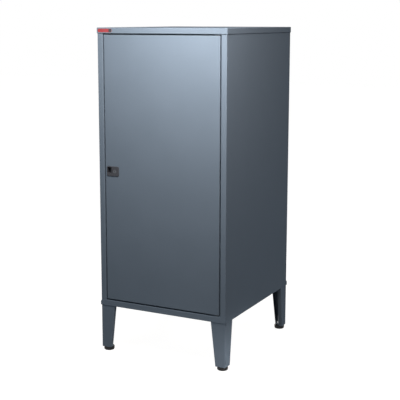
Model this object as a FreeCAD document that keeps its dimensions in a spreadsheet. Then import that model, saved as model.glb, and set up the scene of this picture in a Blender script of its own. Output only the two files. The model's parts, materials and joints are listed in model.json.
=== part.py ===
"""Tool chest side locker: a sheet-steel cabinet with one door, on four levelled legs.

Millimetres. +Z is up, the origin is on the floor under the middle of the cabinet, and the door
faces -Y. Every size is a cell of the sheet "dims", and every sketch and feature is bound to it.
"""

import FreeCAD, Part
import math
import os
from types import SimpleNamespace

import Sketcher
from FreeCAD import Vector

TOUCH = 1e-4        # two places closer than this are the same place

DIMENSIONS = {
    # overall
    "cap_width": 450.0,
    "cap_depth": 498.0,
    "overall_height": 1046.0,
    # sheet metal
    "sheet": 1.2,                   # body, cap, door and shelves
    "bend": 2.0,                    # outer radius of their folds
    "fit_gap": 0.3,                 # between sheets that slide over each other
    "base_sheet": 1.5,
    "leg_sheet": 2.0,
    "leg_bend": 3.0,
    # heights of the base
    "foot_height": 12.5,            # floor to the underside of a leg
    "leg_height": 141.5,
    "rim_height": 18.0,
    "rim_corner": 9.0,
    "rim_bend": 1.2,                # outer radius of the rim's lower fold
    "rim_reach": 1.8,               # of the rim past the cabinet's sides
    "tray_margin": 20.0,            # of the tray's web past the legs' plates, around its opening
    "tray_corner": 12.0,
    # front frame
    "cap_height": 18.0,
    "stile_width": 18.5,
    "rear_flange": 15.0,
    "stop_lip": 12.0,
    "rail_lip": 16.0,
    # door
    "door_gap": 4.0,                # at the sides and the top
    "sill_gap": 4.5,                # under the door
    "door_setback": 0.8,
    "door_thickness": 20.0,
    "stop_gap": 4.2,                # door's back edge to the stop lips
    "stiffener_width": 60.0,
    "stiffener_foot": 14.0,
    "stiffener_depth": 16.0,
    # hinges
    "pivot_cover": 0.45,            # door's front and edge past the bush's flange
    "pin_radius": 4.0,
    "pin_head_radius": 6.5,
    "pin_head": 2.0,
    "pin_reach": 12.0,              # of the pin into the door
    "pin_play": 0.05,
    "bush_wall": 2.0,
    "bush_depth": 9.0,
    "bush_flange": 1.5,             # how far the bush's flange stands out past its wall
    "hinge_play": 0.3,
    "bracket_sheet": 2.0,
    "bracket_half_width": 12.0,
    "bracket_gap": 2.8,             # bracket's back edge to the stop lips
    # lock, along the door
    "lock_edge": 6.0,               # from the door's free edge
    "lock_width": 44.0,
    "lock_height": 31.5,
    "lock_level": 597.0,            # height of the key's axis
    "lock_corner": 5.0,
    "bezel": 2.2,
    "bezel_round": 1.1,
    "lock_step": 2.0,               # bezel past the hole in the door
    "lock_block_depth": 17.0,
    "lock_fit": 0.2,
    "retainer": 2.0,
    "retainer_rim": 3.6,
    # finger recess
    "recess_edge": 2.2,             # from the bezel's left edge
    "recess_width": 15.5,
    "recess_height": 19.0,
    "recess_rise": 3.5,             # of the recess's middle above the key's axis
    "recess_depth": 13.0,
    "recess_corner": 2.5,
    # key cylinder and cam
    "key_inset": 15.0,              # key's axis from the bezel's right edge
    "key_radius": 6.0,
    "key_play": 0.05,
    "key_sink": 0.8,                # cylinder's face below the bezel's
    "dish_radius": 9.0,
    "barrel_radius": 9.5,
    "cam_play": 0.4,                # between the turned cam and its keeper
    "keyway_width": 1.6,
    "keyway_height": 7.0,
    "keyway_depth": 6.0,
    "cam_sheet": 2.5,
    "cam_width": 14.0,
    "cam_corner": 5.0,
    "cam_bite": 7.0,                # of the turned cam behind the stop lip
    "cam_square": 7.0,
    "screw_head_radius": 5.0,
    "screw_head": 3.0,
    "screw_shank": 2.5,
    "screw_length": 6.0,
    "keeper_sheet": 2.0,
    "keeper_height": 44.0,
    "buffer_radius": 4.0,
    "buffer_press": 0.3,            # buffer's face to the closed door
    "buffer_level": 180.0,          # above and below the lock
    # small plate on the cap
    "plate_sheet": 0.3,
    "plate_width": 51.0,
    "plate_height": 11.0,
    "plate_edge": 4.0,
    "plate_drop": 3.5,
    "plate_corner": 2.0,
    # inside
    "pilaster_width": 20.0,
    "pilaster_depth": 6.0,
    "pilaster_inset": 40.0,         # middle of a pilaster from the stop lip or the back
    "clip_play": 1.0,               # of a clip in its slot
    "slot_pitch": 25.0,
    "slot_first": 45.0,             # lowest slot above the floor pan
    "slot_last": 75.0,              # least height of wall above the highest slot
    "shelf_height": 20.0,
    "shelf_play": 1.0,
    "shelf_setback": 12.0,          # from the stop rails, clear of the lock
    "clip_sheet": 2.0,
    "clip_width": 9.0,
    "clip_reach": 14.0,             # of a clip under the shelf
    # legs
    "leg_top_width": 50.0,
    "leg_foot_width": 34.0,
    "leg_return": 12.5,
    "leg_plate": 2.5,
    "leg_plate_rim": 2.5,           # of the leg's plate past the far bolt's head
    "foot_plate": 3.0,
    "foot_plate_rise": 1.5,         # above the leg's lower edge
    "foot_plate_cut": 16.5,         # off its inner corner, along each edge
    "foot_radius": 17.0,
    "foot_round": 4.0,
    "foot_groove": 0.9,
    "foot_sole": 4.0,               # of the pad under the stud
    "foot_top_gap": 0.3,            # between the pad and the leg's lower edge
    "stud_radius": 5.0,
    "stud_play": 0.06,
    "stud_rise": 34.0,              # stud's end above the foot plate's underside
    "stud_round": 0.6,
    "nut_radius": 9.0,
    "nut_height": 8.0,
    # bolts that hold a leg to the base tray
    "bolt_radius": 3.0,
    "bolt_play": 0.1,
    "bolt_head_radius": 5.5,
    "bolt_head": 3.5,
    "bolt_nut": 3.5,
    "bolt_end": 3.5,                # of the bolt past its nut
    "bolt_near": 12.0,              # from the leg's outer faces
    "nut_gap": 1.6,                 # between the far nuts and the floor pan's front flange
    # rivets of the back panel
    "rivet_radius": 2.0,
    "rivet_head_radius": 4.0,
    "rivet_head": 1.0,
    "rivet_tail": 2.5,
    "rivet_tail_radius": 2.8,
    "rivet_play": 0.1,
    "rivet_inset": 8.5,             # from the cabinet's side
    "rivet_end": 60.0,              # first and last rivet from the panel's ends
}
SHELVES = ("lower_shelf", "middle_shelf", "upper_shelf")
RIVET_ROWS = 6
FOOT_GROOVES = 24
CORNERS = {"front_left": (-1, -1), "front_right": (1, -1), "rear_left": (-1, 1), "rear_right": (1, 1)}
SIDES = {"left": -1, "right": 1}
PLANES = {"X": "YZ_Plane", "Y": "XZ_Plane", "Z": "XY_Plane"}

doc = FreeCAD.newDocument("side_locker")


class Size:
    """A length that knows its value and the expression of sheet cells that gives it."""

    def __init__(self, value, text):
        self.value = float(value)
        self.text = text

    def __add__(self, other):
        other = as_size(other)
        return Size(self.value + other.value, f"({self.text} + {other.text})")

    def __sub__(self, other):
        other = as_size(other)
        return Size(self.value - other.value, f"({self.text} - {other.text})")

    def __mul__(self, other):
        other = as_size(other)
        return Size(self.value * other.value, f"({self.text} * {other.text})")

    def __truediv__(self, other):
        other = as_size(other)
        return Size(self.value / other.value, f"({self.text} / {other.text})")

    def __neg__(self):
        return self * -1


def as_size(value):
    return value if isinstance(value, Size) else Size(value, f"({value})")


def write_sheet():
    """Fill the sheet with the named dimensions and return them as sizes."""
    sheet = doc.addObject("Spreadsheet::Sheet", "dims")
    for row, (name, value) in enumerate(DIMENSIONS.items(), 1):
        sheet.set(f"A{row}", name)
        sheet.set(f"B{row}", str(value))
        sheet.setAlias(f"B{row}", name)
    doc.recompute()
    return SimpleNamespace(**{name: Size(value, f"dims.{name}") for name, value in DIMENSIONS.items()})


d = write_sheet()

# Faces and levels that several pieces share.
half_width = d.cap_width / 2 - d.sheet - d.fit_gap          # outside of a side panel
half_depth = d.cap_depth / 2 - d.sheet - d.fit_gap
inside_half = half_width - d.sheet
between_sides = inside_half - d.fit_gap                      # half width between the side panels
rim_half_width = half_width + d.rim_reach
rim_half_depth = half_depth + d.fit_gap + d.base_sheet
bend_inside = d.bend - d.sheet
front = -half_depth
tray_under = d.foot_height + d.leg_height
tray_web = tray_under + d.base_sheet
floor_level = tray_under + d.rim_height
cap_under = d.overall_height - d.cap_height
cap_inside = d.overall_height - d.sheet
wall_top = cap_inside - d.fit_gap
opening_half = half_width - d.stile_width
back_inside = half_depth - d.sheet * 2                       # inner face of the back panel
door_half = opening_half - d.door_gap
door_front = front + d.door_setback
door_back = door_front + d.door_thickness
door_inside = door_front + d.sheet
stop_front = door_back + d.stop_gap
stop_back = stop_front + d.sheet
rail_back = stop_back + d.sheet
door_bottom = floor_level + d.sill_gap
door_top = cap_under - d.door_gap
pin_hole = d.pin_radius + d.pin_play
bush_radius = pin_hole + d.bush_wall
pivot_inset = bush_radius + d.bush_flange + d.pivot_cover
pivot = (door_half - pivot_inset, door_front + pivot_inset)
lock_left = -door_half + d.lock_edge
lock_right = lock_left + d.lock_width
key_x = lock_right - d.key_inset
lock_face = door_front - d.bezel
cam_length = key_x + opening_half - d.stop_lip + d.cam_bite
barrel_back = stop_back + d.keeper_sheet + d.cam_play
shelf_half = inside_half - d.pilaster_depth - d.shelf_play
foot_inset = d.leg_foot_width / 2                            # stud's axis from the leg's outer faces
foot_plate_under = d.foot_height + d.foot_plate_rise
foot_plate_top = foot_plate_under + d.foot_plate
pilaster_rows = {"front": rail_back + d.pilaster_inset, "rear": back_inside - d.pilaster_inset}
bolt_far = rail_back + d.fit_gap + d.sheet + d.nut_gap + d.bolt_head_radius - front
leg_plate_width = bolt_far + d.bolt_head_radius + d.leg_plate_rim
slot_run = wall_top - floor_level - d.slot_first - d.slot_last
slots = int(slot_run.value // d.slot_pitch.value) + 1
shelf_slots = {name: slots * place // (len(SHELVES) + 1) for place, name in enumerate(SHELVES, 1)}


def bind(feature, name, size):
    feature.setExpression(name, as_size(size).text)


def new_body(label, place=(0, 0, 0)):
    body = doc.addObject("PartDesign::Body", label)
    body.Label = label
    body.AllowCompound = True
    for axis, size in zip("xyz", place):
        bind(body, f"Placement.Base.{axis}", size)
    return body


def fix_point(sketch, piece, end, point):
    """Hold one end of a sketch piece at a point given by two sizes."""
    for kind, size in zip(("DistanceX", "DistanceY"), point):
        size = as_size(size)
        index = sketch.addConstraint(Sketcher.Constraint(kind, -1, 1, piece, end, size.value))
        bind(sketch, f"Constraints[{index}]", size)


def flat(point):
    return Vector(as_size(point[0]).value, as_size(point[1]).value, 0)


def stepped(corner, neighbour, reach):
    """The point at a distance from a right-angled corner along the run to its neighbour."""
    moves = []
    for here, there in zip(corner[:2], neighbour[:2]):
        gap = as_size(there).value - as_size(here).value
        direction = 0 if abs(gap) < TOUCH else math.copysign(1, gap)
        moves.append(here + reach * direction if direction else here)
    return moves


def draw_arc(sketch, corner, before, after):
    """Round a corner of an outline and return the arc's index and its entry and exit ends."""
    radius = corner[2]
    entry = stepped(corner, before, radius)
    exit_point = stepped(corner, after, radius)
    centre = flat(entry) + flat(exit_point) - flat(corner)
    turns_left = (flat(corner) - flat(entry)).cross(flat(exit_point) - flat(corner)).z > 0
    first, last = (entry, exit_point) if turns_left else (exit_point, entry)
    angles = [math.atan2(*reversed((flat(point) - centre)[:2])) for point in (first, last)]
    circle = Part.Circle(centre, Vector(0, 0, 1), radius.value)
    arc = sketch.addGeometry(Part.ArcOfCircle(circle, *angles), False)
    index = sketch.addConstraint(Sketcher.Constraint("Radius", arc, radius.value))
    bind(sketch, f"Constraints[{index}]", radius)
    return arc, (1, 2) if turns_left else (2, 1)


def outline(*corners):
    """A closed shape with straight runs. A corner with a third value is rounded by that radius."""

    def draw(sketch):
        entries, exits = [], []
        for index, corner in enumerate(corners):
            rounded = len(corner) == 3
            before, after = corners[index - 1], corners[(index + 1) % len(corners)]
            entries.append(stepped(corner, before, corner[2]) if rounded else corner)
            exits.append(stepped(corner, after, corner[2]) if rounded else corner)
        lines = []
        for index in range(len(corners)):
            following = (index + 1) % len(corners)
            run = Part.LineSegment(flat(exits[index]), flat(entries[following]))
            lines.append(sketch.addGeometry(run, False))
        for index, corner in enumerate(corners):
            arriving, leaving = lines[index - 1], lines[index]
            fix_point(sketch, leaving, 1, exits[index])
            if len(corner) == 2:
                sketch.addConstraint(Sketcher.Constraint("Coincident", arriving, 2, leaving, 1))
                continue
            fix_point(sketch, arriving, 2, entries[index])
            after = corners[(index + 1) % len(corners)]
            arc, (entry_end, exit_end) = draw_arc(sketch, corner, corners[index - 1], after)
            sketch.addConstraint(Sketcher.Constraint("Coincident", arriving, 2, arc, entry_end))
            sketch.addConstraint(Sketcher.Constraint("Coincident", leaving, 1, arc, exit_end))

    return draw


def rectangle(low, high, radius=None):
    """A rectangle between two corners, with rounded corners where a radius is given."""
    corners = [(low[0], low[1]), (high[0], low[1]), (high[0], high[1]), (low[0], high[1])]
    return outline(*[corner if radius is None else corner + (radius,) for corner in corners])


def disc(centre, radius):
    """A circle about a point."""

    def draw(sketch):
        circle = sketch.addGeometry(Part.Circle(flat(centre), Vector(0, 0, 1), radius.value), False)
        fix_point(sketch, circle, 3, centre)
        index = sketch.addConstraint(Sketcher.Constraint("Radius", circle, radius.value))
        bind(sketch, f"Constraints[{index}]", radius)

    return draw


def new_sketch(body, axis, level, shapes):
    """A sketch across an axis: X and Z across Y, Y and Z across X, X and Y across Z."""
    plane = next(part for part in body.Origin.OriginFeatures if part.Role == PLANES[axis])
    sketch = body.newObject("Sketcher::SketchObject", f"{body.Label}_sketch")
    sketch.AttachmentSupport = (plane, "")
    sketch.MapMode = "FlatFace"
    bind(sketch, "AttachmentOffset.Base.z", -level if axis == "Y" else level)
    for draw in shapes:
        draw(sketch)
    return sketch


def add_slab(body, axis, low, high, *shapes):
    """Add material between two levels of an axis, in the given outlines."""
    low, high = as_size(low), as_size(high)
    pad = body.newObject("PartDesign::Pad", f"{body.Label}_pad")
    pad.Profile = new_sketch(body, axis, high if axis == "Y" else low, shapes)
    bind(pad, "Length", high - low)
    return pad


def cut_slab(body, axis, low, high, *shapes):
    """Cut material away between two levels of an axis, in the given outlines."""
    low, high = as_size(low), as_size(high)
    doc.recompute()
    before = body.Shape.Volume
    pocket = body.newObject("PartDesign::Pocket", f"{body.Label}_pocket")
    pocket.Profile = new_sketch(body, axis, low if axis == "Y" else high, shapes)
    bind(pocket, "Length", high - low)
    doc.recompute()
    if body.Shape.Volume >= before:
        raise RuntimeError(f"{body.Label}: a cut across {axis} removed nothing")
    return pocket


def turn(body, *corners):
    """Revolve a half section about the body's own Z axis. Corners are radius and height."""
    sketch = new_sketch(body, "Y", as_size(0), [outline(*corners)])
    revolution = body.newObject("PartDesign::Revolution", f"{body.Label}_revolution")
    revolution.Profile = sketch
    revolution.ReferenceAxis = (sketch, ["V_Axis"])
    return revolution


def low_high(*levels):
    """The levels from the lowest to the highest."""
    return sorted(map(as_size, levels), key=lambda size: size.value)


def box_between(first, second):
    """A rectangle between any two opposite corners."""
    (left, right), (low, high) = (low_high(*pair) for pair in zip(first, second))
    return rectangle((left, low), (right, high))


def lies_at(shape, place):
    """True where every vertex of an edge or a face has the coordinates that the place gives."""
    return all(
        abs(getattr(vertex, axis.upper()) - as_size(size).value) < TOUCH
        for vertex in shape.Vertexes for axis, size in place.items()
    )


def round_edges(body, radius, *places):
    """Round the edges of the last feature that lie at one of the places."""
    doc.recompute()
    base = body.Tip
    names = [
        f"Edge{number}" for number, edge in enumerate(base.Shape.Edges, 1)
        if any(lies_at(edge, place) for place in places)
    ]
    if not names:
        raise RuntimeError(f"{body.Label}: no edge to round")
    fillet = body.newObject("PartDesign::Fillet", f"{body.Label}_fillet")
    fillet.Base = (base, names)
    bind(fillet, "Radius", radius)
    return fillet


def hollow(body, wall, place):
    """Turn the last feature into a pan of the given wall, open at the face that the place gives."""
    doc.recompute()
    base = body.Tip
    names = [
        f"Face{number}" for number, face in enumerate(base.Shape.Faces, 1) if lies_at(face, place)
    ]
    shell = body.newObject("PartDesign::Thickness", f"{body.Label}_shell")
    shell.Base = (base, names)
    shell.Reversed = True
    bind(shell, "Value", wall)
    return shell


def corners_of(half_x, half_y):
    """The four upright edges of a box about the origin."""
    return [{"x": half_x * side, "y": half_y * end} for side in (-1, 1) for end in (-1, 1)]


def pan(label, low, high, wall, open_axis, open_level, rounded):
    """A folded pan: a box with rounded edges, hollowed from the face at one level."""
    body = new_body(label)
    add_slab(body, "Z", low[2], high[2], rectangle(low[:2], high[:2]))
    round_edges(body, d.bend, *rounded)
    hollow(body, wall, {open_axis: open_level})
    return body


# The cabinet's shell.

def make_top_cap():
    half_x, half_y = d.cap_width / 2, d.cap_depth / 2
    top = d.overall_height
    edges = corners_of(half_x, half_y)
    edges += [{"x": half_x * side, "z": top} for side in (-1, 1)]
    edges += [{"y": half_y * end, "z": top} for end in (-1, 1)]
    pan("top_cap", (-half_x, -half_y, cap_under), (half_x, half_y, top), d.sheet, "z", cap_under, edges)


def make_side_panel(name, side):
    """One sheet folded into the stile, its jamb and stop lip, the side and a rear flange.

    The side itself reaches down past the edge of the base tray. The folds stand on the tray.
    """
    body = new_body(f"{name}_side_panel")
    outer, inner = half_width * side, inside_half * side
    jamb, jamb_back = opening_half * side, (opening_half + d.sheet) * side
    lip = (opening_half - d.stop_lip) * side
    flange = (half_width - d.rear_flange) * side
    front_inside, back_face, back_flange = front + d.sheet, half_depth, half_depth - d.sheet
    section = outline(
        (lip, stop_front),
        (jamb, stop_front, bend_inside),
        (jamb, front, d.bend),
        (outer, front, d.bend),
        (outer, back_face, d.bend),
        (flange, back_face),
        (flange, back_flange),
        (inner, back_flange, bend_inside),
        (inner, front_inside, bend_inside),
        (jamb_back, front_inside, bend_inside),
        (jamb_back, stop_back, d.bend),
        (lip, stop_back),
    )
    add_slab(body, "Z", tray_under, wall_top, section)
    cut_slab(body, "Z", tray_under, tray_web, box_between((lip, front), (inner, back_face)))
    cut_slab(body, "Y", back_flange, back_face, *rivet_discs(side, d.rivet_radius + d.rivet_play))


def rivet_discs(side, radius):
    """The rivets' places on one edge of the back panel, as discs across Y."""
    low, high = tray_web + d.rivet_end, wall_top - d.rivet_end
    pitch = (high - low) / (RIVET_ROWS - 1)
    x = (half_width - d.rivet_inset) * side
    return [disc((x, low + pitch * row), radius) for row in range(RIVET_ROWS)]


def make_back_panel():
    body = new_body("back_panel")
    half = inside_half - d.bend
    outer_face = half_depth - d.sheet
    panel = rectangle((-half, tray_web), (half, cap_inside))
    add_slab(body, "Y", back_inside, outer_face, panel)
    holes = [hole for side in SIDES.values() for hole in rivet_discs(side, d.rivet_radius + d.rivet_play)]
    cut_slab(body, "Y", back_inside, outer_face, *holes)


def make_back_rivets():
    """Blind rivets through the rear flanges and the back panel."""
    body = new_body("back_rivets")
    shanks, heads, tails = (
        [spot for side in SIDES.values() for spot in rivet_discs(side, radius)]
        for radius in (d.rivet_radius, d.rivet_head_radius, d.rivet_tail_radius)
    )
    add_slab(body, "Y", back_inside - d.rivet_tail, back_inside, *tails)
    add_slab(body, "Y", back_inside - d.rivet_tail, half_depth + d.rivet_head, *shanks)
    add_slab(body, "Y", half_depth, half_depth + d.rivet_head, *heads)


def make_rail(label, web, direction, foot):
    """A Z-shaped rail across the opening: flange behind the front, web, and stop lip behind the door."""
    body = new_body(label)
    inner_web = web - d.sheet * direction
    lip_end = web + d.rail_lip * direction
    section = outline(
        (front, foot),
        (front, web, d.bend),
        (stop_back, web, bend_inside),
        (stop_back, lip_end),
        (rail_back, lip_end),
        (rail_back, inner_web, d.bend),
        (front + d.sheet, inner_web, bend_inside),
        (front + d.sheet, foot),
    )
    add_slab(body, "X", -opening_half, opening_half, section)
    notch_x = opening_half - d.stop_lip - d.fit_gap
    notches = [
        box_between((notch_x * side, stop_front - d.bend), (opening_half * side, rail_back))
        for side in SIDES.values()
    ]
    cut_slab(body, "Z", *low_high(foot, lip_end), *notches)
    cut_slab(body, "Z", *low_high(web, inner_web), disc(pivot, pin_hole))


def make_floor_pan():
    low = (-between_sides, rail_back + d.fit_gap, tray_web)
    high = (between_sides, back_inside - d.fit_gap, floor_level)
    edges = [{"x": between_sides * side, "z": floor_level} for side in (-1, 1)]
    edges += [{"y": level, "z": floor_level} for level in (low[1], high[1])]
    pan("floor_pan", low, high, d.sheet, "z", tray_web, edges)


def make_base_tray():
    """A web with a large opening, and a rim: flanges in front and behind with rounded corners."""
    body = new_body("base_tray")
    web = rectangle((-between_sides, -rim_half_depth), (between_sides, rim_half_depth))
    add_slab(body, "Z", tray_under, tray_web, web)
    flange = outline(
        (-rim_half_width, tray_under),
        (rim_half_width, tray_under),
        (rim_half_width, floor_level, d.rim_corner),
        (-rim_half_width, floor_level, d.rim_corner),
    )
    for low in (-rim_half_depth, rim_half_depth - d.base_sheet):
        add_slab(body, "Y", low, low + d.base_sheet, flange)
    round_edges(body, d.rim_bend, *[{"y": rim_half_depth * end, "z": tray_under} for end in (-1, 1)])
    kept = leg_plate_width + d.tray_margin
    far_x, far_y = half_width - kept, half_depth - kept
    cut_slab(body, "Z", tray_under, tray_web, rectangle((-far_x, -far_y), (far_x, far_y), d.tray_corner))
    cut_slab(body, "Z", tray_under, tray_web, *bolt_discs(d.bolt_radius + d.bolt_play))


def make_label_plate():
    """The plain plate on the front left corner of the cap."""
    body = new_body("label_plate")
    left = -d.cap_width / 2 + d.plate_edge
    high = d.overall_height - d.plate_drop
    cap_front = -d.cap_depth / 2
    shape = rectangle((left, high - d.plate_height), (left + d.plate_width, high), d.plate_corner)
    add_slab(body, "Y", cap_front - d.plate_sheet, cap_front, shape)


# Shelves and what carries them.

def slot_level(row):
    """The height of a slot's lower edge."""
    return floor_level + d.slot_first + d.slot_pitch * row


def make_pilaster(side_name, end_name):
    """A slotted channel on the inside of a side panel."""
    side = SIDES[side_name]
    body = new_body(f"{side_name}_{end_name}_pilaster")
    middle = pilaster_rows[end_name]
    low, high = middle - d.pilaster_width / 2, middle + d.pilaster_width / 2
    wall, face = inside_half * side, (inside_half - d.pilaster_depth) * side
    face_inside = (inside_half - d.pilaster_depth + d.sheet) * side
    section = outline(
        (wall, low),
        (face, low, d.bend),
        (face, high, d.bend),
        (wall, high),
        (wall, high - d.sheet),
        (face_inside, high - d.sheet, bend_inside),
        (face_inside, low + d.sheet, bend_inside),
        (wall, low + d.sheet),
    )
    add_slab(body, "Z", floor_level, wall_top - d.fit_gap, section)
    half_slot = (d.clip_width + d.clip_play) / 2
    slot_low = slot_level(0)
    low_corner = (middle - half_slot, slot_low)
    high_corner = (middle + half_slot, slot_low + d.clip_sheet + d.clip_play)
    slot = cut_slab(body, "X", *low_high(face, face_inside), rectangle(low_corner, high_corner))
    ladder = body.newObject("PartDesign::LinearPattern", f"{body.Label}_slots")
    ladder.Originals = [slot]
    ladder.Direction = (slot.Profile[0], ["V_Axis"])
    ladder.Occurrences = slots
    bind(ladder, "Length", d.slot_pitch * (slots - 1))
    body.Tip = ladder


def make_shelf(label, row):
    """A shelf pan that rests on four clips."""
    low_level = slot_level(row) + d.clip_sheet
    high_level = low_level + d.shelf_height
    low = (-shelf_half, rail_back + d.shelf_setback, low_level)
    high = (shelf_half, back_inside - d.rivet_tail - d.shelf_play, high_level)
    edges = [{"x": shelf_half * side, "z": high_level} for side in (-1, 1)]
    edges += [{"y": level, "z": high_level} for level in (low[1], high[1])]
    pan(label, low, high, d.sheet, "z", low_level, edges)


def make_shelf_clips():
    """Flat hooks, one in each carrying slot, under the shelves' corners."""
    body = new_body("shelf_clips")
    for row in shelf_slots.values():
        level = slot_level(row)
        shapes = []
        for side in SIDES.values():
            root = (inside_half - d.sheet) * side
            tip = (inside_half - d.pilaster_depth - d.clip_reach) * side
            half = d.clip_width / 2
            for middle in pilaster_rows.values():
                shapes.append(box_between((root, middle - half), (tip, middle + half)))
        add_slab(body, "Z", level, level + d.clip_sheet, *shapes)


# Legs and levelling feet.

def make_leg(name, side, end):
    """A tapered angle with return flanges on its sloping edges and a plate at its top."""
    body = new_body(f"{name}_leg")
    top, foot = tray_under, d.foot_height
    for axis, outer, across, across_end in (
        ("Y", half_width * side, half_depth * end, end),
        ("X", half_depth * end, half_width * side, side),
    ):
        lean = side if axis == "Y" else end
        inner_top, inner_foot = outer - d.leg_top_width * lean, outer - d.leg_foot_width * lean
        face = outline((outer, foot), (outer, top), (inner_top, top), (inner_foot, foot))
        fold = outline(
            (inner_foot, foot),
            (inner_foot + d.leg_sheet * lean, foot),
            (inner_top + d.leg_sheet * lean, top),
            (inner_top, top),
        )
        for shape, reach in ((face, d.leg_sheet), (fold, d.leg_return)):
            add_slab(body, axis, *low_high(across, across - reach * across_end), shape)
    near_x, near_y = half_width * side, half_depth * end
    plate_far = (near_x - leg_plate_width * side, near_y - leg_plate_width * end)
    plate = box_between(plate_far, (near_x, near_y))
    add_slab(body, "Z", top - d.leg_plate, top, plate)
    round_edges(body, d.leg_bend, {"x": near_x, "y": near_y})
    holes = bolt_discs(d.bolt_radius + d.bolt_play, [(side, end)])
    cut_slab(body, "Z", top - d.leg_plate, top, *holes)


def bolt_discs(radius, corners=tuple(CORNERS.values())):
    """The places of the two bolts that hold each leg, as discs across Z."""
    discs = []
    for side, end in corners:
        for x_inset, y_inset in ((d.bolt_near, bolt_far), (bolt_far, d.bolt_near)):
            discs.append(disc(((half_width - x_inset) * side, (half_depth - y_inset) * end), radius))
    return discs


def make_leg_bolts():
    """Bolts up through the legs' plates and the tray, with their heads below."""
    body = new_body("leg_bolts")
    plate_under = tray_under - d.leg_plate
    add_slab(body, "Z", plate_under - d.bolt_head, plate_under, *bolt_discs(d.bolt_head_radius))
    shank_top = tray_web + d.bolt_nut + d.bolt_end
    add_slab(body, "Z", plate_under - d.bolt_head, shank_top, *bolt_discs(d.bolt_radius))


def make_leg_nuts():
    """Nuts on the leg bolts, on top of the tray's web under the floor pan."""
    body = new_body("leg_nuts")
    top = tray_web + d.bolt_nut
    add_slab(body, "Z", tray_web, top, *bolt_discs(d.bolt_head_radius))
    cut_slab(body, "Z", tray_web, top, *bolt_discs(d.bolt_radius + d.bolt_play))


def foot_discs(radius):
    """The studs' places, as discs across Z."""
    return [disc(foot_place(side, end), radius) for side, end in CORNERS.values()]


def foot_place(side, end):
    return ((half_width - foot_inset) * side, (half_depth - foot_inset) * end)


def make_foot_plates():
    """Plates welded into the legs' lower ends. Each has its inner corner cut off and a stud hole."""
    body = new_body("foot_plates")
    fold, cut = d.leg_foot_width - d.leg_sheet, d.foot_plate_cut
    plates = []
    for side, end in CORNERS.values():
        near_x, near_y = (half_width - d.leg_sheet) * side, (half_depth - d.leg_sheet) * end
        far_x, far_y = (half_width - fold) * side, (half_depth - fold) * end
        cut_off = (far_x, far_y + cut * end), (far_x + cut * side, far_y)
        plates.append(outline((near_x, near_y), (far_x, near_y), *cut_off, (near_x, far_y)))
    add_slab(body, "Z", foot_plate_under, foot_plate_top, *plates)
    cut_slab(body, "Z", foot_plate_under, foot_plate_top, *foot_discs(d.stud_radius + d.stud_play))


def make_weld_nuts():
    """Round weld nuts on the foot plates that the studs turn in."""
    body = new_body("weld_nuts")
    top = foot_plate_top + d.nut_height
    add_slab(body, "Z", foot_plate_top, top, *foot_discs(d.nut_radius))
    cut_slab(body, "Z", foot_plate_top, top, *foot_discs(d.stud_radius + d.stud_play))


def make_foot(name, side, end):
    """A levelling foot: a grooved plastic pad and the stud moulded into it."""
    x, y = foot_place(side, end)
    pad_top = d.foot_height - d.foot_top_gap
    pad = new_body(f"{name}_foot_pad", (x, y, 0))
    axle = as_size(0)
    turn(
        pad,
        (axle, axle),
        (d.foot_radius, axle, d.foot_round),
        (d.foot_radius, pad_top, d.foot_groove),
        (axle, pad_top),
    )
    groove = cut_slab(pad, "Z", axle, pad_top, disc((d.foot_radius, axle), d.foot_groove))
    ring = pad.newObject("PartDesign::PolarPattern", f"{name}_grooves")
    ring.Originals = [groove]
    ring.Axis = (groove.Profile[0], ["N_Axis"])
    ring.Angle = 360
    ring.Occurrences = FOOT_GROOVES
    pad.Tip = ring
    cut_slab(pad, "Z", d.foot_sole, pad_top, disc((axle, axle), d.stud_radius))
    stud = new_body(f"{name}_foot_stud", (x, y, 0))
    stud_top = foot_plate_under + d.stud_rise
    add_slab(stud, "Z", d.foot_sole, stud_top, disc((axle, axle), d.stud_radius))
    round_edges(stud, d.stud_round, {"z": stud_top})


# Door and hinges.

def make_door_panel():
    body = new_body("door_panel")
    add_slab(body, "Y", door_front, door_back, rectangle((-door_half, door_bottom), (door_half, door_top)))
    edges = [{"x": door_half * side, "y": door_front} for side in (-1, 1)]
    edges += [{"z": level, "y": door_front} for level in (door_bottom, door_top)]
    round_edges(body, d.bend, *edges)
    hollow(body, d.sheet, {"y": door_back})
    bush_hole = disc(pivot, bush_radius + d.pin_play)
    cut_slab(body, "Z", door_bottom, door_bottom + d.sheet, bush_hole)
    cut_slab(body, "Z", door_top - d.sheet, door_top, bush_hole)
    cut_slab(body, "Y", door_front, door_inside, lock_block(d.lock_fit))


def make_door_stiffener():
    """A hat channel down the middle of the door's inside."""
    body = new_body("door_stiffener")
    crown, foot = d.stiffener_width / 2, d.stiffener_width / 2 + d.stiffener_foot
    near, far = door_inside, door_inside + d.stiffener_depth
    section = outline(
        (-foot, near),
        (-crown + d.sheet, near, bend_inside),
        (-crown + d.sheet, far - d.sheet, bend_inside),
        (crown - d.sheet, far - d.sheet, bend_inside),
        (crown - d.sheet, near, bend_inside),
        (foot, near),
        (foot, near + d.sheet),
        (crown, near + d.sheet, bend_inside),
        (crown, far, d.bend),
        (-crown, far, d.bend),
        (-crown, near + d.sheet, bend_inside),
        (-foot, near + d.sheet),
    )
    clear = d.bend + d.fit_gap
    add_slab(body, "Z", door_bottom + clear, door_top - clear, section)


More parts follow.
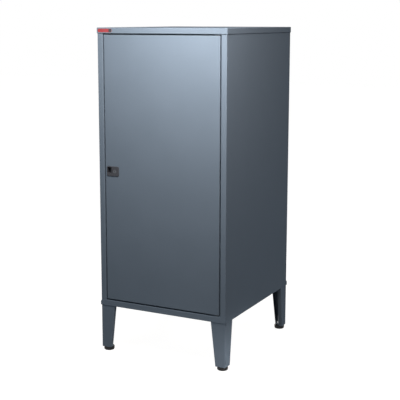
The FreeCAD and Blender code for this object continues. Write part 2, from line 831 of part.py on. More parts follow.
def make_hinge(name, web, door_edge, direction):
    """Bracket, pin and bush of one hinge. Direction is +1 where the pin points up."""
    bracket_face = web + d.bracket_sheet * direction
    x, y = pivot
    bracket = new_body(f"{name}_hinge_bracket")
    levels = low_high(web, bracket_face)
    bracket_front = front + d.sheet
    shape = rectangle(
        (x - d.bracket_half_width, bracket_front), (opening_half, stop_front - d.bracket_gap)
    )
    add_slab(bracket, "Z", *levels, shape)
    cut_slab(bracket, "Z", *levels, disc(pivot, pin_hole))

    pin = new_body(f"{name}_hinge_pin", (x, y, 0))
    axle = as_size(0)
    head = web - d.sheet * direction
    turn(
        pin,
        (axle, head - d.pin_head * direction),
        (d.pin_head_radius, head - d.pin_head * direction),
        (d.pin_head_radius, head),
        (d.pin_radius, head),
        (d.pin_radius, door_edge + d.pin_reach * direction),
        (axle, door_edge + d.pin_reach * direction),
    )

    bush = new_body(f"{name}_hinge_bush", (x, y, 0))
    turn(
        bush,
        (pin_hole, bracket_face + d.hinge_play * direction),
        (bush_radius + d.bush_flange, bracket_face + d.hinge_play * direction),
        (bush_radius + d.bush_flange, door_edge),
        (bush_radius, door_edge),
        (bush_radius, door_edge + d.bush_depth * direction),
        (pin_hole, door_edge + d.bush_depth * direction),
    )


# Lock.

def lock_block(clearance):
    """The hole in the door that the lock passes through, or the lock's block where clearance is 0."""
    low_z = d.lock_level - d.lock_height / 2 + d.lock_step - clearance
    high_z = d.lock_level + d.lock_height / 2 - d.lock_step + clearance
    low_x = lock_left + d.lock_step - clearance
    high_x = lock_right - d.lock_step + clearance
    return rectangle((low_x, low_z), (high_x, high_z), d.lock_corner - d.lock_step + clearance)


def make_lock_housing():
    """Bezel with a finger recess and a dish, the block behind it and the barrel of the key cylinder."""
    body = new_body("lock_housing")
    low, high = d.lock_level - d.lock_height / 2, d.lock_level + d.lock_height / 2
    bezel = rectangle((lock_left, low), (lock_right, high), d.lock_corner)
    add_slab(body, "Y", lock_face, door_front, bezel)
    round_edges(body, d.bezel_round, {"y": lock_face})
    add_slab(body, "Y", door_front, door_front + d.lock_block_depth, lock_block(0))
    axis = (key_x, d.lock_level)
    add_slab(body, "Y", door_front, barrel_back, disc(axis, d.barrel_radius))
    recess_left = lock_left + d.recess_edge
    recess_low = d.lock_level + d.recess_rise - d.recess_height / 2
    recess = rectangle(
        (recess_left, recess_low),
        (recess_left + d.recess_width, recess_low + d.recess_height),
        d.recess_corner,
    )
    cut_slab(body, "Y", lock_face, lock_face + d.recess_depth, recess)
    cut_slab(body, "Y", lock_face, lock_face + d.key_sink, disc(axis, d.dish_radius))
    cut_slab(body, "Y", lock_face, barrel_back, disc(axis, d.key_radius + d.key_play))


def make_lock_retainer():
    """A frame behind the door's sheet that holds the lock in its hole."""
    body = new_body("lock_retainer")
    rim = d.retainer_rim
    low = (lock_left + d.lock_step - rim, d.lock_level - d.lock_height / 2 + d.lock_step - rim)
    high = (lock_right - d.lock_step + rim, d.lock_level + d.lock_height / 2 - d.lock_step + rim)
    corner = d.lock_corner - d.lock_step + rim
    add_slab(body, "Y", door_inside, door_inside + d.retainer, rectangle(low, high, corner))
    cut_slab(body, "Y", door_inside, door_inside + d.retainer, lock_block(d.lock_fit))


def make_lock_cylinder():
    """The key cylinder that turns in the barrel, with its keyway and a square end for the cam."""
    body = new_body("lock_cylinder")
    axis = (key_x, d.lock_level)
    face = lock_face + d.key_sink
    add_slab(body, "Y", face, barrel_back, disc(axis, d.key_radius))
    half_square = d.cam_square / 2
    low = (key_x - half_square, d.lock_level - half_square)
    high = (key_x + half_square, d.lock_level + half_square)
    add_slab(body, "Y", barrel_back, barrel_back + d.cam_sheet, rectangle(low, high))
    low = (key_x - d.keyway_width / 2, d.lock_level - d.keyway_height / 2)
    high = (key_x + d.keyway_width / 2, d.lock_level + d.keyway_height / 2)
    cut_slab(body, "Y", face, face + d.keyway_depth, rectangle(low, high))
    screw_bottom = barrel_back + d.cam_sheet - d.screw_length
    cut_slab(body, "Y", screw_bottom, barrel_back + d.cam_sheet, disc(axis, d.screw_shank))


def make_latch_cam():
    """The arm on the cylinder's square end. It hangs down unlocked and turns behind the stile to lock."""
    body = new_body("latch_cam")
    half = d.cam_width / 2
    tip = d.lock_level - cam_length
    low, high = barrel_back + d.key_play, barrel_back + d.cam_sheet
    arm = rectangle((key_x - half, tip), (key_x + half, d.lock_level + half), d.cam_corner)
    add_slab(body, "Y", low, high, arm)
    half_square = d.cam_square / 2 + d.key_play
    square = rectangle(
        (key_x - half_square, d.lock_level - half_square), (key_x + half_square, d.lock_level + half_square)
    )
    cut_slab(body, "Y", low, high, square)


def make_cam_screw():
    body = new_body("cam_screw")
    axis = (key_x, d.lock_level)
    seat = barrel_back + d.cam_sheet
    add_slab(body, "Y", seat - d.screw_length, seat + d.screw_head, disc(axis, d.screw_shank))
    add_slab(body, "Y", seat, seat + d.screw_head, disc(axis, d.screw_head_radius))


def make_latch_keeper():
    """The plate behind the left stop lip that the cam turns behind."""
    body = new_body("latch_keeper")
    half = d.keeper_height / 2
    shape = rectangle(
        (-opening_half, d.lock_level - half), (-opening_half + d.stop_lip, d.lock_level + half)
    )
    add_slab(body, "Y", stop_back, stop_back + d.keeper_sheet, shape)


def make_door_buffers():
    """Two soft stops on the left stop lip, in front of which the door's edge closes."""
    body = new_body("door_buffers")
    x = -door_half + d.sheet / 2
    levels = (d.lock_level - d.buffer_level, d.lock_level + d.buffer_level)
    discs = [disc((x, level), d.buffer_radius) for level in levels]
    add_slab(body, "Y", door_back + d.buffer_press, stop_front, *discs)


def make_all():
    make_top_cap()
    make_label_plate()
    for name, side in SIDES.items():
        make_side_panel(name, side)
    make_back_panel()
    make_back_rivets()
    make_rail("header_rail", cap_under, -1, wall_top)
    make_rail("sill_rail", floor_level, 1, tray_web)
    make_floor_pan()
    make_base_tray()
    for side_name in SIDES:
        for end_name in pilaster_rows:
            make_pilaster(side_name, end_name)
    for label, row in shelf_slots.items():
        make_shelf(label, row)
    make_shelf_clips()
    for name, (side, end) in CORNERS.items():
        make_leg(name, side, end)
        make_foot(name, side, end)
    make_leg_bolts()
    make_leg_nuts()
    make_foot_plates()
    make_weld_nuts()
    make_door_panel()
    make_door_stiffener()
    make_hinge("lower", floor_level, door_bottom, 1)
    make_hinge("upper", cap_under, door_top, -1)
    make_lock_housing()
    make_lock_retainer()
    make_lock_cylinder()
    make_latch_cam()
    make_cam_screw()
    make_latch_keeper()
    make_door_buffers()


def export_parts():
    """Check every object and write each sub-part's solids to its own file."""
    doc.recompute()
    for item in doc.Objects:
        if "Invalid" in item.State or "Error" in item.State:
            raise RuntimeError(f"{item.Label}: {item.State}")
    bodies = [item for item in doc.Objects if item.TypeId == "PartDesign::Body"]
    for body in bodies:
        if body.Shape.isNull() or not body.Shape.isValid():
            raise RuntimeError(f"{body.Label}: no valid shape")
    os.makedirs("parts", exist_ok=True)
    for body in bodies:
        body.Shape.exportStep(f"parts/{body.Label}.step")
    print(f"{len(bodies)} sub-parts, {sum(len(body.Shape.Solids) for body in bodies)} solids")


make_all()
export_parts()
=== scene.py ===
"""Looks of the side locker: painted sheet steel, lock, feet, small fittings, studio light and camera.

Metres. +Z is up, the locker stands on Z = 0 and its door faces -Y. Its pieces sit where the frame says.
"""

import json
import math

import bmesh
import bpy
from mathutils import Matrix, Vector


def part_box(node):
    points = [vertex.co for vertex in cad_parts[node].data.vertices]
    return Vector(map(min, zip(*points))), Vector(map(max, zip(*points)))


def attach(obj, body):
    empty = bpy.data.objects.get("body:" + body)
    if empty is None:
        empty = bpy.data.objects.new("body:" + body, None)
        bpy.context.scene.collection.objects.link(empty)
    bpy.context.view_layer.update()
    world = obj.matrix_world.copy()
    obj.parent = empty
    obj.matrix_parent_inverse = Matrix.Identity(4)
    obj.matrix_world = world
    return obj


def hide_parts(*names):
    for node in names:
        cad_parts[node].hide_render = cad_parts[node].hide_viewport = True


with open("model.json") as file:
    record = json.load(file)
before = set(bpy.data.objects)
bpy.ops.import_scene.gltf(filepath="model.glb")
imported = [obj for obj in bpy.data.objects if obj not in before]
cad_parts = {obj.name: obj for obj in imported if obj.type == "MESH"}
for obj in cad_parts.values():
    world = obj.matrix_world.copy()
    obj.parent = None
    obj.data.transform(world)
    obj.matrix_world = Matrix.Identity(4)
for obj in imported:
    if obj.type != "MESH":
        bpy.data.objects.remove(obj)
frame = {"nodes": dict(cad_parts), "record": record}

MM = 0.001
MERGE = 0.002 * MM              # loose corners closer than this are one corner
FLAT = math.radians(0.4)        # neighbouring faces that turn less than this are one flat face
SHARP = math.radians(32)        # an edge that turns more than this stays crisp
EDGE_SEGMENTS = 2               # of each rounded edge
BOX_DIGITS = 5                  # corners are sorted to this many digits of a metre
FULL_TURN = 2 * math.pi
UP = Vector((0, 0, 1))
BACKWARDS = Vector((0, 1, 0))

BODY_OF = {node: body for body, nodes in frame["record"]["behaviour"]["bodies"].items() for node in nodes}
SLOT_OF = {part["node"]: part["material_slot"] for part in frame["record"]["subparts"]}
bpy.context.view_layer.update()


# Shader maths and nodes.

class Signal:
    """What a socket gives, so that shader maths can be written as an expression."""

    def __init__(self, shader, socket):
        self.shader = shader
        self.socket = socket

    def maths(self, operation, first, second):
        return self.shader.node("ShaderNodeMath", {"operation": operation}, {0: first, 1: second})

    def __add__(self, other):
        return self.maths("ADD", self, other)

    def __sub__(self, other):
        return self.maths("SUBTRACT", self, other)

    def __rsub__(self, other):
        return self.maths("SUBTRACT", other, self)

    def __mul__(self, other):
        return self.maths("MULTIPLY", self, other)

    def __gt__(self, other):
        return self.maths("GREATER_THAN", self, other)

    __radd__ = __add__
    __rmul__ = __mul__


class Shader:
    """The node tree of a material or of the world."""

    def __init__(self, tree, output):
        self.tree = tree
        self.tree.nodes.clear()
        self.output = self.tree.nodes.new(output)

    def node(self, kind, settings=None, sockets=None, output=0):
        """Add a node, set it up, then fill or link its sockets. Returns what one of its outputs gives."""
        node = self.tree.nodes.new(kind)
        for name, value in (settings or {}).items():
            if name == "stops":
                self.set_stops(node.color_ramp.elements, value)
            else:
                setattr(node, name, value)
        for key, value in (sockets or {}).items():
            if isinstance(value, Signal):
                self.tree.links.new(value.socket, node.inputs[key])
            else:
                node.inputs[key].default_value = value
        return Signal(self, node.outputs[output])

    @staticmethod
    def set_stops(elements, stops):
        while len(elements) < len(stops):
            elements.new(1.0)
        for element, (place, level) in zip(elements, stops):
            element.position = place
            element.color = (level, level, level, 1)

    def surface(self, signal):
        self.tree.links.new(signal.socket, self.output.inputs["Surface"])

    def place(self):
        return self.node("ShaderNodeTexCoord", output="Object")

    def axis(self, name):
        """One coordinate of the point that is shaded, in metres."""
        return self.node("ShaderNodeSeparateXYZ", sockets={"Vector": self.place()}, output=name)

    def off_middle(self, name, middle):
        """Distance along an axis from a level of that axis."""
        return self.node("ShaderNodeMath", {"operation": "ABSOLUTE"}, {0: self.axis(name) - middle})

    def stretched(self, scale):
        return self.node("ShaderNodeMapping", sockets={"Vector": self.place(), "Scale": scale})

    def noise(self, grain, detail=2.0, place=None):
        """Noise from 0 to 1 whose blots are about one grain across."""
        sockets = {"Vector": place or self.place(), "Scale": 1 / grain, "Detail": detail}
        return self.node("ShaderNodeTexNoise", sockets=sockets, output="Fac")

    def ramp(self, value, *stops):
        return self.node("ShaderNodeValToRGB", {"stops": stops}, {"Fac": value})

    def between(self, factor, low, high):
        """A colour between two colours."""
        sockets = {0: factor, 6: low, 7: high}
        return self.node("ShaderNodeMix", {"data_type": "RGBA"}, sockets, output=2)

    def bump(self, height, depth):
        return self.node("ShaderNodeBump", sockets={"Height": height, "Distance": depth, "Strength": 1.0})

    def light_path(self, *kinds):
        """1 for rays of any of these kinds."""
        total = 0.0
        for kind in kinds:
            total = self.node("ShaderNodeLightPath", output=kind) + total
        return self.node("ShaderNodeClamp", sockets={"Value": total})


def linear(red, green, blue):
    """A colour given by its display values from 0 to 255."""
    values = [channel / 255 for channel in (red, green, blue)]
    curve = [v / 12.92 if v <= 0.04045 else ((v + 0.055) / 1.055) ** 2.4 for v in values]
    return (*curve, 1.0)


def new_material(name):
    material = bpy.data.materials.new(name)
    material.use_nodes = True
    return material, Shader(material.node_tree, "ShaderNodeOutputMaterial")


def finished(name, make):
    """A material whose Principled sockets are given by make(shader)."""
    material, shader = new_material(name)
    shader.surface(shader.node("ShaderNodeBsdfPrincipled", sockets=make(shader)))
    return material


# Finishes.

def powder_coat(shader):
    """Satin blue-grey powder coat: faint clouding, fine speckle and orange peel."""
    cloud = shader.noise(110 * MM, 3.0)
    speckle = shader.noise(0.8 * MM, 1.0)
    peel = shader.noise(1.5 * MM, 2.0)
    tone = cloud * 0.55 + speckle * 0.45
    return {
        "Base Color": shader.between(tone, linear(98, 112, 128), linear(111, 125, 142)),
        "Roughness": cloud * 0.1 + speckle * 0.06 + 0.58,
        "Specular IOR Level": 0.08,
        "Normal": shader.bump(peel + cloud * 2.0, 0.02 * MM),
    }


def zinc_plate(shader):
    """Bright zinc: cloudy grey metal with fine scuffs."""
    cloud = shader.noise(9 * MM, 3.0)
    scuff = shader.noise(1.0 * MM, 2.0, shader.stretched((1, 1, 0.15)))
    return {
        "Base Color": shader.between(cloud, linear(126, 130, 134), linear(160, 162, 163)),
        "Metallic": 1.0,
        "Roughness": cloud * 0.14 + scuff * 0.1 + 0.3,
        "Normal": shader.bump(scuff, 0.01 * MM),
    }


def nickel_plate(shader):
    """Dull nickel with turning marks."""
    cloud = shader.noise(3 * MM, 3.0)
    return {
        "Base Color": shader.between(cloud, linear(74, 76, 81), linear(104, 106, 110)),
        "Metallic": 1.0,
        "Roughness": cloud * 0.15 + 0.3,
        "Normal": shader.bump(shader.noise(0.3 * MM, 1.0), 0.01 * MM),
    }


def spark_texture(shader, dark, pale, grain, depth):
    """Moulded plastic with a spark-eroded texture."""
    pits = shader.noise(grain, 2.0)
    return {
        "Base Color": shader.between(shader.noise(14 * MM, 2.0) * 0.5 + pits * 0.5, dark, pale),
        "Roughness": pits * 0.16 + 0.46,
        "Specular IOR Level": 0.3,
        "Normal": shader.bump(pits, depth),
    }


def lock_plastic(shader):
    return spark_texture(shader, linear(48, 50, 57), linear(68, 70, 77), 0.5 * MM, 0.04 * MM)


def foot_plastic(shader):
    return spark_texture(shader, linear(14, 15, 18), linear(26, 27, 30), 0.7 * MM, 0.03 * MM)


def nylon(shader):
    return spark_texture(shader, linear(52, 53, 56), linear(66, 67, 70), 1.2 * MM, 0.01 * MM)


def rubber(shader):
    return spark_texture(shader, linear(24, 24, 25), linear(38, 38, 39), 0.4 * MM, 0.03 * MM)


LABEL_LOW, LABEL_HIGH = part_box("label_plate")
LABEL_CORNER = 4.2 * MM
LABEL_BORDER = 0.7 * MM
LABEL_DARK_SHARE = 0.22         # of the plate's width, at its right end


def label_enamel(shader):
    """Red enamel with a thin pale border and a dark field at the right end."""
    middle, half = (LABEL_LOW + LABEL_HIGH) / 2, (LABEL_HIGH - LABEL_LOW) / 2
    mottle = shader.noise(2 * MM, 2.0)
    red = shader.between(mottle, linear(132, 24, 32), linear(144, 32, 38))
    dark_from = LABEL_HIGH.x - LABEL_DARK_SHARE * (LABEL_HIGH.x - LABEL_LOW.x)
    field = shader.between(shader.axis("X") > dark_from, red, linear(30, 22, 30))
    border = (shader.off_middle("Z", middle.z) > half.z - LABEL_BORDER) \
        + (shader.off_middle("X", middle.x) > half.x - LABEL_BORDER)
    edged = shader.node("ShaderNodeClamp", sockets={"Value": border})
    return {
        "Base Color": shader.between(edged, field, linear(158, 82, 84)),
        "Roughness": mottle * 0.1 + 0.25,
        "Coat Weight": 0.3,
    }


FINISHES = {
    "blue_grey_paint": finished("satin_powder_coat", powder_coat),
    "zinc_steel": finished("bright_zinc_plate", zinc_plate),
    "nickel": finished("dull_nickel_plate", nickel_plate),
    "lock_plastic": finished("textured_lock_plastic", lock_plastic),
    "foot_plastic": finished("moulded_foot_plastic", foot_plastic),
    "nylon": finished("black_nylon", nylon),
    "rubber": finished("matt_rubber", rubber),
    "label_red": finished("red_enamel", label_enamel),
}


# Making and placing pieces.

def add_piece(name, shape, *nodes):
    """A piece from a bmesh. It stands for its CAD nodes, rides where they do and has their finish."""
    slot = SLOT_OF[nodes[0]]
    mesh = bpy.data.meshes.new(name)
    shape.to_mesh(mesh)
    shape.free()
    mesh.materials.append(FINISHES[slot])
    mesh.polygons.foreach_set("use_smooth", [True] * len(mesh.polygons))
    mesh.set_sharp_from_angle(angle=SHARP)
    piece = bpy.data.objects.new(name, mesh)
    bpy.context.scene.collection.objects.link(piece)
    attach(piece, BODY_OF[nodes[0]])
    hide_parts(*nodes)
    return piece


def round_edges(piece, radius):
    """Take the sharpness off every edge that turns more than the crisp angle."""
    bevel = piece.modifiers.new("edge_round", "BEVEL")
    bevel.width = radius
    bevel.segments = EDGE_SEGMENTS
    bevel.limit_method = "ANGLE"
    bevel.angle_limit = SHARP
    bevel.miter_outer = "MITER_ARC"
    normals = piece.modifiers.new("flat_faces", "WEIGHTED_NORMAL")
    normals.keep_sharp = True


def merged(node):
    """A CAD node's shape with its loose triangles joined and its flat faces whole."""
    shape = bmesh.new()
    shape.from_mesh(frame["nodes"][node].data)
    bmesh.ops.remove_doubles(shape, verts=shape.verts, dist=MERGE)
    bmesh.ops.dissolve_limit(shape, angle_limit=FLAT, verts=shape.verts, edges=shape.edges)
    return shape


def box_of(verts):
    """The lowest and the highest corner of the box round some vertices."""
    columns = list(zip(*(vert.co for vert in verts)))
    return Vector(map(min, columns)), Vector(map(max, columns))


def solid_boxes(node):
    """The lowest and highest corners of each separate solid of a CAD node, from left to right."""
    shape = merged(node)
    left = set(shape.verts)
    boxes = []
    while left:
        reached, waiting = [], [left.pop()]
        while waiting:
            vert = waiting.pop()
            reached.append(vert)
            for edge in vert.link_edges:
                other = edge.other_vert(vert)
                if other in left:
                    left.remove(other)
                    waiting.append(other)
        boxes.append(box_of(reached))
    shape.free()
    return sorted(boxes, key=lambda box: tuple(round(value, BOX_DIGITS) for value in box[0]))


def under_middle(low, high):
    """The middle of a box's underside."""
    return Vector(((low.x + high.x) / 2, (low.y + high.y) / 2, low.z))


def verts_in(geometry):
    return [item for item in geometry if isinstance(item, bmesh.types.BMVert)]


def repeat(shape, places):
    """Put the shape at the first place and a copy of it at each other place."""
    first = shape.verts[:] + shape.edges[:] + shape.faces[:]
    bmesh.ops.translate(shape, vec=places[0], verts=verts_in(first))
    for place in places[1:]:
        twin = bmesh.ops.duplicate(shape, geom=first)["geom"]
        bmesh.ops.translate(shape, vec=place - places[0], verts=verts_in(twin))
    return shape


def turned(section, steps):
    """A shape turned about Z. The section is a list of radius and height, from axis to axis."""
    shape = bmesh.new()
    corners = [shape.verts.new((radius, 0, height)) for radius, height in section]
    for first, second in zip(corners, corners[1:]):
        shape.edges.new((first, second))
    bmesh.ops.spin(
        shape, geom=shape.verts[:] + shape.edges[:], axis=UP, angle=FULL_TURN, steps=steps, use_merge=True
    )
    return closed(shape)


def closed(shape):
    """Join what meets and point the faces outwards."""
    bmesh.ops.remove_doubles(shape, verts=shape.verts, dist=MERGE)
    bmesh.ops.dissolve_degenerate(shape, edges=shape.edges, dist=MERGE)
    bmesh.ops.recalc_face_normals(shape, faces=shape.faces)
    return shape


# Small fittings.

HEX_CHAMFER = 0.12              # of the hexagon's radius
HEX_SIXTH = FULL_TURN / 6
NUT_STEPS = 24                  # round a nut, a multiple of six
NUT_HOLES = {"leg_nuts": 3.1 * MM, "weld_nuts": 5.06 * MM}      # radius
BOLT_HEAD = 3.5 * MM            # height
BOLT_SHANK = 3.0 * MM           # radius
BOLT_TIP = 0.6 * MM             # chamfer at the bolt's end
BOLT_OVERLAP = 0.5 * MM         # of the shank and the head
BOLT_STEPS = 24                 # round a shank
FITTING_EDGE = 0.15 * MM


def hexagon_head(radius, height):
    """A chamfered hexagon that stands on Z = 0."""
    shape = bmesh.new()
    bmesh.ops.create_cone(
        shape, cap_ends=True, segments=6, radius1=radius, radius2=radius, depth=height,
        matrix=Matrix.Translation(UP * height / 2),
    )
    ends = [face for face in shape.faces if abs(face.normal.z) > 0.5]
    chamfer = HEX_CHAMFER * radius
    bmesh.ops.inset_individual(shape, faces=ends, thickness=chamfer, depth=0)
    for face in ends:
        bmesh.ops.translate(shape, vec=face.normal * chamfer / 2, verts=face.verts)
    bmesh.ops.scale(shape, vec=(1, 1, height / (height + chamfer)), verts=shape.verts)
    bmesh.ops.translate(shape, vec=UP * (height / 2) * chamfer / (height + chamfer), verts=shape.verts)
    return shape


def hexagon_nut(radius, height, hole):
    """A chamfered hexagon nut that stands on Z = 0: a loop pulled round its section, from hole to hole."""
    chamfer = HEX_CHAMFER * radius
    loops = (                       # radius of a round loop, or of a hexagon's corners, and height
        (None, radius - chamfer, 0), (None, radius, chamfer / 2), (None, radius, height - chamfer / 2),
        (None, radius - chamfer, height), (hole, None, height), (hole, None, 0),
    )
    shape = bmesh.new()
    bmesh.ops.create_circle(shape, segments=NUT_STEPS, radius=hole)
    edges = shape.edges[:]
    for circle, corner_radius, level in loops:
        pulled = bmesh.ops.extrude_edge_only(shape, edges=edges)["geom"]
        for vert in verts_in(pulled):
            turn = math.atan2(vert.co.y, vert.co.x) % HEX_SIXTH
            flat = math.cos(HEX_SIXTH / 2) / math.cos(turn - HEX_SIXTH / 2)
            out = circle or corner_radius * flat
            vert.co = (*(vert.co.xy.normalized() * out), level)
        edges = [item for item in pulled if isinstance(item, bmesh.types.BMEdge)]
    return closed(shape)


def make_leg_bolts():
    """Hexagon bolts: a chamfered head below, a shank with a chamfered end above."""
    boxes = solid_boxes("leg_bolts")
    low, high = boxes[0]
    radius, height = (high.x - low.x) / 2, high.z - low.z
    start = BOLT_HEAD - BOLT_OVERLAP
    shape = hexagon_head(radius, BOLT_HEAD)
    shank = turned([
        (0, start), (BOLT_SHANK, start), (BOLT_SHANK, height - BOLT_TIP),
        (BOLT_SHANK - BOLT_TIP, height), (0, height),
    ], BOLT_STEPS)
    shank_mesh = bpy.data.meshes.new("shank")
    shank.to_mesh(shank_mesh)
    shank.free()
    shape.from_mesh(shank_mesh)
    bpy.data.meshes.remove(shank_mesh)
    places = [under_middle(low, high) for low, high in boxes]
    round_edges(add_piece("hexagon_leg_bolts", repeat(shape, places), "leg_bolts"), FITTING_EDGE)


def make_nuts(node):
    """Chamfered hexagon nuts where a node has round ones."""
    boxes = solid_boxes(node)
    low, high = boxes[0]
    shape = hexagon_nut((high.x - low.x) / 2, high.z - low.z, NUT_HOLES[node])
    places = [under_middle(low, high) for low, high in boxes]
    round_edges(add_piece(f"hexagon_{node}", repeat(shape, places), node), FITTING_EDGE)


RIVET_STEPS = 28                # round a rivet
RIVET_HEAD = 4.0                # the rivets' radii and lengths are in millimetres
RIVET_SHANK = 2.0
RIVET_TAIL = 2.8
TAIL_LENGTH = 2.5
DOME = 1.0                      # height of the head
RIVET_TAIL_SECTION = (          # radius, and height over the tail's end
    (0, 0.3), (RIVET_TAIL * 0.5, 0), (RIVET_TAIL * 0.85, 0.2), (RIVET_TAIL, 0.8),
    (RIVET_TAIL, TAIL_LENGTH - 0.5), (RIVET_TAIL - 0.3, TAIL_LENGTH), (RIVET_SHANK, TAIL_LENGTH),
)
RIVET_HEAD_SECTION = (          # radius, and height over the sheet, ending with the broken mandrel
    (RIVET_SHANK, 0), (RIVET_HEAD, 0), (RIVET_HEAD - 0.15, 0.3),
    (RIVET_HEAD * 0.82, 0.72), (RIVET_HEAD * 0.6, 0.92),
    (1.35, DOME), (1.15, DOME - 0.1), (1.05, DOME - 0.5), (0.9, DOME - 0.45), (0, DOME - 0.35),
)


def make_rivets():
    """Blind rivets: a domed head with its broken mandrel outside, a crimped tail inside."""
    boxes = solid_boxes("back_rivets")
    low, high = boxes[0]
    seat = high.y - low.y - DOME * MM
    section = [(radius * MM, height * MM) for radius, height in RIVET_TAIL_SECTION]
    section += [(radius * MM, seat + height * MM) for radius, height in RIVET_HEAD_SECTION]
    shape = turned(section, RIVET_STEPS)
    bmesh.ops.rotate(shape, matrix=UP.rotation_difference(BACKWARDS).to_matrix(), verts=shape.verts)
    places = [Vector(((low.x + high.x) / 2, low.y, (low.z + high.z) / 2)) for low, high in boxes]
    add_piece("blind_rivets", repeat(shape, places), "back_rivets")


THREAD_PITCH = 1.5 * MM
THREAD_STEPS = 24               # around one turn
THREAD_DEPTH = 0.8 * MM
THREAD_SECTION = (              # height over the root as a share of the depth, and share of the pitch
    (0, 0), (0, 0.1), (1, 0.46), (1, 0.56), (0, 0.92), (0, 1),
)


def make_stud(corner):
    """A threaded stud with a chamfered top."""
    node = f"{corner}_foot_stud"
    low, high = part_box(node)
    radius, height = (high.x - low.x) / 2, high.z - low.z
    root = radius - THREAD_DEPTH
    shape = bmesh.new()
    corners = [
        shape.verts.new((root + depth * THREAD_DEPTH, 0, (rise - 1) * THREAD_PITCH))
        for depth, rise in THREAD_SECTION
    ]
    for first, second in zip(corners, corners[1:]):
        shape.edges.new((first, second))
    turns = math.ceil(height / THREAD_PITCH) + 1
    bmesh.ops.spin(
        shape, geom=shape.verts[:] + shape.edges[:], axis=UP, angle=FULL_TURN * turns,
        steps=THREAD_STEPS * turns, dvec=UP * THREAD_PITCH / THREAD_STEPS,
    )
    bmesh.ops.remove_doubles(shape, verts=shape.verts, dist=MERGE)
    for level, normal in ((0, -UP), (height, UP)):
        everything = shape.verts[:] + shape.edges[:] + shape.faces[:]
        bmesh.ops.bisect_plane(
            shape, geom=everything, dist=MERGE, plane_co=UP * level, plane_no=normal, clear_outer=True
        )
    bmesh.ops.holes_fill(shape, edges=[edge for edge in shape.edges if edge.is_boundary])
    chamfer_from = height - THREAD_DEPTH
    for vert in shape.verts:
        out = vert.co.xy.length
        most = radius - max(0.0, vert.co.z - chamfer_from)
        if out > most:
            vert.co.xy *= most / out
    closed(shape)
    bmesh.ops.translate(shape, vec=under_middle(low, high), verts=shape.verts)
    add_piece(f"threaded_{node}", shape, node)


LABEL_ROUNDING = 8              # segments of a corner
LABEL_RISE = 0.2                # of the border and the dome, as a share of the plate's thickness
LABEL_SLOPE = 0.2 * MM          # width of the border's outer and inner slope
LABEL_DOME = ((1.2 * MM, 0.5), (1.2 * MM, 0.3))     # each slope's width, and its share of the rise


def make_label():
    """A domed enamel plate with rounded ends and a raised border."""
    thickness = LABEL_HIGH.y - LABEL_LOW.y
    middle, size = (LABEL_LOW + LABEL_HIGH) / 2, LABEL_HIGH - LABEL_LOW
    shape = bmesh.new()
    plane = Matrix.LocRotScale(
        Vector((middle.x, LABEL_HIGH.y, middle.z)), Matrix.Rotation(math.pi / 2, 3, "X"),
        Vector((size.x, size.z, 1)),
    )
    bmesh.ops.create_grid(shape, x_segments=1, y_segments=1, size=0.5, matrix=plane)
    bmesh.ops.bevel(
        shape, geom=shape.verts[:], offset=LABEL_CORNER, segments=LABEL_ROUNDING, profile=0.5,
        affect="VERTICES", material=-1,
    )
    back = shape.faces[:]
    front = bmesh.ops.extrude_face_region(shape, geom=back)["geom"]
    rise = thickness * LABEL_RISE
    bmesh.ops.translate(shape, vec=(0, rise - thickness, 0), verts=verts_in(front))
    face = next(item for item in front if isinstance(item, bmesh.types.BMFace))
    steps = [(LABEL_SLOPE, -rise), (LABEL_BORDER - 2 * LABEL_SLOPE, 0), (LABEL_SLOPE, rise)]
    steps += [(width, -rise * share) for width, share in LABEL_DOME]
    for width, step in steps:
        bmesh.ops.inset_region(shape, faces=[face], thickness=width, use_even_offset=True)
        bmesh.ops.translate(shape, vec=(0, step, 0), verts=face.verts)
    closed(shape)
    add_piece("enamel_label", shape, "label_plate")


make_label()
make_rivets()
make_leg_bolts()
for node in NUT_HOLES:
    make_nuts(node)
for corner in ("front_left", "front_right", "rear_left", "rear_right"):
    make_stud(corner)


# Everything else keeps its own shape, with its edges rounded as paint, plating or moulding rounds them.

FOLDS = {"top_cap": 1.8 * MM, "door_panel": 1.2 * MM, "base_tray": 1.5 * MM}
FOLD_SEGMENTS = 4
ON_FACE = 0.05 * MM             # an edge nearer than this to a face of the box lies on it
EDGES = {                       # radius of the rounded edges of each finish
    "blue_grey_paint": 0.3 * MM,
    "zinc_steel": 0.15 * MM,
    "nickel": 0.12 * MM,
    "lock_plastic": 0.25 * MM,
    "foot_plastic": 0.25 * MM,
    "nylon": 0.2 * MM,
    "rubber": 0.4 * MM,
}


def folded(node):
    """A sheet part's shape with the outer folds of its box rounded, as a press brake leaves them."""
    shape = merged(node)
    low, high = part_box(node)
    faces = [(axis, corner[axis]) for corner in (low, high) for axis in range(3)]

    def on_two_faces(edge):
        ends = [vert.co for vert in edge.verts]
        return sum(all(abs(co[axis] - level) < ON_FACE for co in ends) for axis, level in faces) > 1

    folds = [edge for edge in shape.edges if on_two_faces(edge)]
    bmesh.ops.bevel(
        shape, geom=folds, offset=FOLDS[node], segments=FOLD_SEGMENTS, profile=0.5,
        affect="EDGES", material=-1,
    )
    return closed(shape)


MADE = {"label_plate", "back_rivets", "leg_bolts", "leg_nuts", "weld_nuts"}
MADE |= {node for node in frame["nodes"] if node.endswith("_foot_stud")}

for node in sorted(set(frame["nodes"]) - MADE):
    shape = folded(node) if node in FOLDS else merged(node)
    round_edges(add_piece(f"finished_{node}", shape, node), EDGES[SLOT_OF[node]])


# Studio.

FLOOR_ALBEDO = 0.35             # sets how much light the floor throws back
FLOOR_GLOW = 0.93               # of the floor near the locker in full shadow, as it is seen
FLOOR_GLOW_TO, FLOOR_WHITE_FROM = 0.6, 1.6      # metres from the locker's middle
FLOOR_REACH = 4.0               # metres that the whole ramp spans
FLOOR_HALF = 12.0
WORLD_LEVEL = 0.02
WHITE_RAYS = ("Is Camera Ray", "Is Glossy Ray", "Is Transmission Ray")


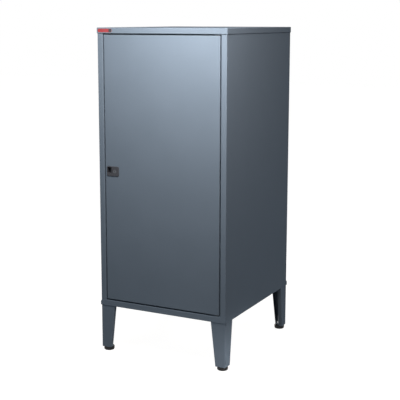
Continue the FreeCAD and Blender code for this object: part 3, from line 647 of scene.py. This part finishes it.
def add_floor():
    """A pale floor that keeps a soft shadow and is otherwise white."""
    shape = bmesh.new()
    bmesh.ops.create_grid(shape, x_segments=1, y_segments=1, size=FLOOR_HALF)
    mesh = bpy.data.meshes.new("studio_floor")
    shape.to_mesh(mesh)
    shape.free()
    material, shader = new_material("studio_floor")
    away = shader.node("ShaderNodeVectorMath", {"operation": "LENGTH"}, {0: shader.place()}, "Value")
    stops = (FLOOR_GLOW_TO / FLOOR_REACH, FLOOR_GLOW), (FLOOR_WHITE_FROM / FLOOR_REACH, 1.0)
    level = shader.ramp(away * (1 / FLOOR_REACH), *stops)
    glow = shader.node("ShaderNodeEmission", sockets={"Strength": shader.light_path(*WHITE_RAYS) * level})
    grey = (FLOOR_ALBEDO, FLOOR_ALBEDO, FLOOR_ALBEDO, 1)
    matt = shader.node("ShaderNodeBsdfDiffuse", sockets={"Color": grey})
    shader.surface(shader.node("ShaderNodeAddShader", sockets={0: glow, 1: matt}))
    mesh.materials.append(material)
    floor = bpy.data.objects.new("studio_floor", mesh)
    bpy.context.scene.collection.objects.link(floor)


def light_world(level):
    """White where it is seen, and a soft even light elsewhere."""
    world = bpy.data.worlds.new("studio_world")
    world.use_nodes = True
    bpy.context.scene.world = world
    shader = Shader(world.node_tree, "ShaderNodeOutputWorld")
    strength = shader.light_path(*WHITE_RAYS) * (1 - level) + level
    shader.surface(shader.node("ShaderNodeBackground", sockets={"Color": (1, 1, 1, 1), "Strength": strength}))


def aimed(obj, place, target):
    """Put an object somewhere, with its -Z axis towards the target."""
    obj.location = place
    obj.rotation_euler = (Vector(target) - Vector(place)).to_track_quat("-Z", "Y").to_euler()


def add_lamp(name, place, target, width, height, power, colour, spread=180):
    """A rectangular lamp that lights the scene and is not seen itself."""
    light = bpy.data.lights.new(name, "AREA")
    light.shape = "RECTANGLE"
    light.size = width
    light.size_y = height
    light.energy = power
    light.color = colour
    light.spread = math.radians(spread)
    lamp = bpy.data.objects.new(name, light)
    bpy.context.scene.collection.objects.link(lamp)
    lamp.visible_camera = False
    aimed(lamp, place, target)


CAMERA_PLACE = (1.4273, -2.7872, 1.0716)
CAMERA_DOWN, CAMERA_TURN = 9.535, 27.439        # degrees below level, and to the right of the door
LENS, SENSOR = 86.19, 36        # millimetres
SHIFT = (0.02, -0.05)


def add_camera():
    """A long lens at about the height of the cap, to the right of the door."""
    camera = bpy.data.objects.new("camera", bpy.data.cameras.new("camera"))
    bpy.context.scene.collection.objects.link(camera)
    camera.location = CAMERA_PLACE
    camera.rotation_euler = (math.radians(90 - CAMERA_DOWN), 0, math.radians(CAMERA_TURN))
    camera.data.sensor_width = SENSOR
    camera.data.lens = LENS
    camera.data.shift_x, camera.data.shift_y = SHIFT
    bpy.context.scene.camera = camera


WHITE, WARM, AMBER, COOL = (1, 1, 1), (1.0, 0.93, 0.85), (1.0, 0.84, 0.71), (0.78, 0.93, 1.0)
LAMPS = (                       # name, place, target, width, height, watts, then colour and spread in degrees
    ("door_key", (0.26, -0.75, 1.25), (0.10, -0.25, 0.95), 0.6, 0.3, 6.6, WARM),
    ("door_top", (0.15, -0.62, 1.30), (0.1, -0.25, 1.0), 0.5, 0.3, 4.9, WARM),
    ("left_softbox", (-0.75, -1.9, 1.35), (0.0, -0.25, 0.8), 0.9, 0.9, 3.6, COOL),
    ("side_key", (0.76, -0.50, 1.32), (0.223, -0.12, 1.0), 0.35, 0.35, 2.85, AMBER),
    ("right_fill", (1.9, 0.3, 0.55), (0.22, 0.1, 0.45), 1.2, 0.9, 2.6, COOL),
    ("front_leg_light", (0.60, -0.45, 0.04), (0.22, -0.22, 0.03), 0.2, 0.06, 0.08, WARM, 40),
    ("rear_leg_light", (0.70, 0.10, 0.03), (0.22, 0.2, 0.02), 0.3, 0.05, 0.005, WHITE, 40),
    ("back_softbox", (-0.3, 1.6, 0.55), (0.0, 0.25, 0.6), 0.9, 0.8, 7, WARM, 120),
    ("left_fill", (-1.9, 0.2, 0.55), (-0.22, 0.0, 0.6), 0.9, 0.8, 7, WARM, 120),
)

add_camera()
add_floor()
light_world(WORLD_LEVEL)
for lamp in LAMPS:
    add_lamp(*lamp)
bpy.context.scene.view_settings.view_transform = "Standard"
